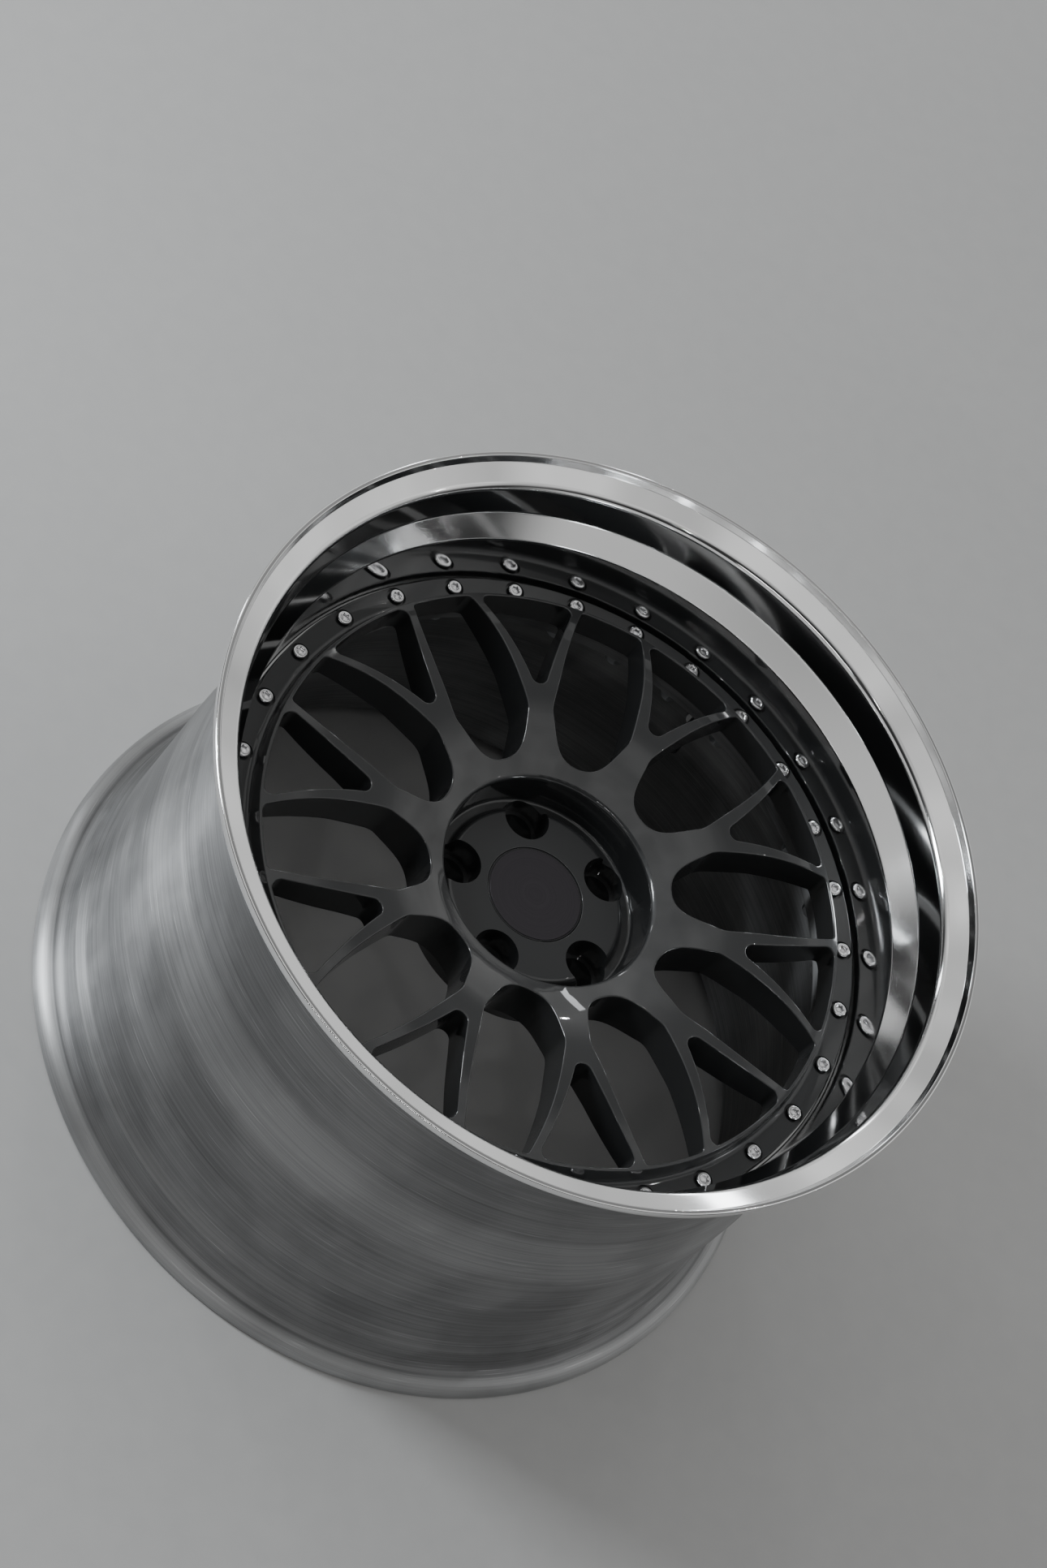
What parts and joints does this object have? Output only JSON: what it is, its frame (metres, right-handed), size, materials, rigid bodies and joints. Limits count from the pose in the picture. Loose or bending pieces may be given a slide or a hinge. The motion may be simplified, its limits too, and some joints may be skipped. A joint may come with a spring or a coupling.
{
  "type": "two-piece forged racing wheel rim",
  "caption": "Deep-lip two-piece forged racing wheel: a dark Y-spoke centre disc bolted into a turned aluminium rim with a mirror-polished stepped lip.",
  "frame": {"origin": "centre of the stud circle, on the hub mounting face", "axes": "+Z along the wheel's axis, out of the front (outboard) lip; +Y through the spoke that one stud hole lies on"},
  "size_m": [0.5477, 0.5478, 0.3298],
  "materials": {
    "disc_paint": "gloss charcoal lacquer over forged aluminium",
    "turned_aluminium": "turned barrel, polished lip",
    "bolt_plating": "bright",
    "zinc_steel": "satin",
    "nylon": "matt",
    "cap_plastic": "satin",
    "cap_face": "satin dark anodised",
    "seal_rubber": "matt",
    "valve_chrome": "bright",
    "valve_brass": "bright",
    "core_seal_plastic": "matt",
    "spring_steel": "satin"
  },
  "bodies": {
    "wheel": {"centre_disc": "disc_paint", "rim_barrel": "turned_aluminium", "assembly_bolts": "bolt_plating", "bolt_washers": "zinc_steel", "bolt_lock_nuts": "zinc_steel", "lock_nut_inserts": "nylon", "valve_stem": "valve_chrome", "valve_grommet": "seal_rubber", "valve_washer": "valve_chrome", "valve_nut": "valve_chrome", "valve_core_body": "valve_brass", "valve_core_gasket": "core_seal_plastic"},
    "centre_cap": {"centre_cap_body": "cap_plastic", "centre_cap_disc": "cap_face", "cap_o_rings": "seal_rubber"},
    "valve_core_pin": {"valve_core_pin": "valve_brass", "valve_core_seal": "seal_rubber", "valve_core_spring": "spring_steel"},
    "valve_cap": {"valve_cap": "cap_plastic", "valve_cap_seal": "seal_rubber"}
  },
  "joints": [
    {"name": "centre_cap_pull", "type": "slide", "parent": "wheel", "child": "centre_cap", "axis": [0, 0, 1], "range_m": [0, 0.03]},
    {"name": "valve_core_pin_press", "type": "slide", "parent": "wheel", "child": "valve_core_pin", "axis": [0.682, 0.7314, 0], "range_m": [0, 0.0012], "stiffness_N_per_m": 1000, "springref_m": -0.002, "deforming": ["valve_core_spring"]},
    {"name": "valve_cap_off", "type": "slide", "parent": "wheel", "child": "valve_cap", "axis": [-0.682, -0.7314, 0], "range_m": [0, 0.02]}
  ]
}
